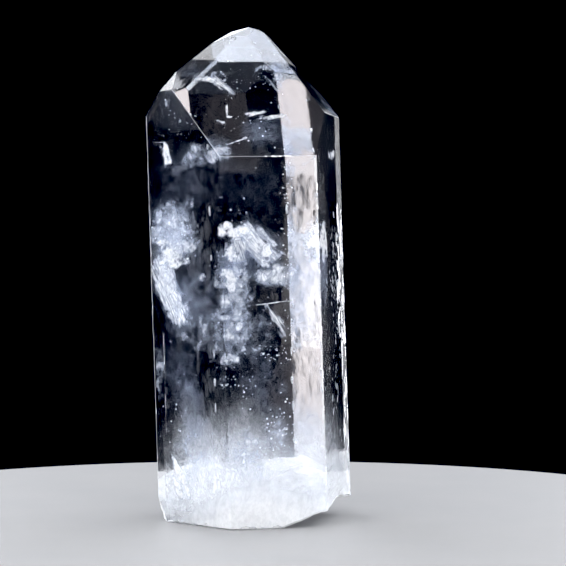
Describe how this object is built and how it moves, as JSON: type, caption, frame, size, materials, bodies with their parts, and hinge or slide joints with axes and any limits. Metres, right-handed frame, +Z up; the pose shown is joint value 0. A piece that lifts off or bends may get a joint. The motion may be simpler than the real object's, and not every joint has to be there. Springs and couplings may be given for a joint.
{
  "type": "quartz crystal",
  "caption": "Clear natural quartz point: a six-sided prism under sloping rhomb faces, milky inside towards its broken foot, on which it stands upright.",
  "frame": {"origin": "under the middle of the bounding box, on the surface that the crystal stands on", "axes": "+Z up along the crystal, towards its point; the front is seen along +Y, with +X to the right"},
  "size_m": [0.0266, 0.0264, 0.0644],
  "materials": {
    "clear_quartz": "glossy, clear, milky at the foot"
  },
  "bodies": {
    "root": {"quartz_crystal": "clear_quartz"}
  },
  "joints": []
}
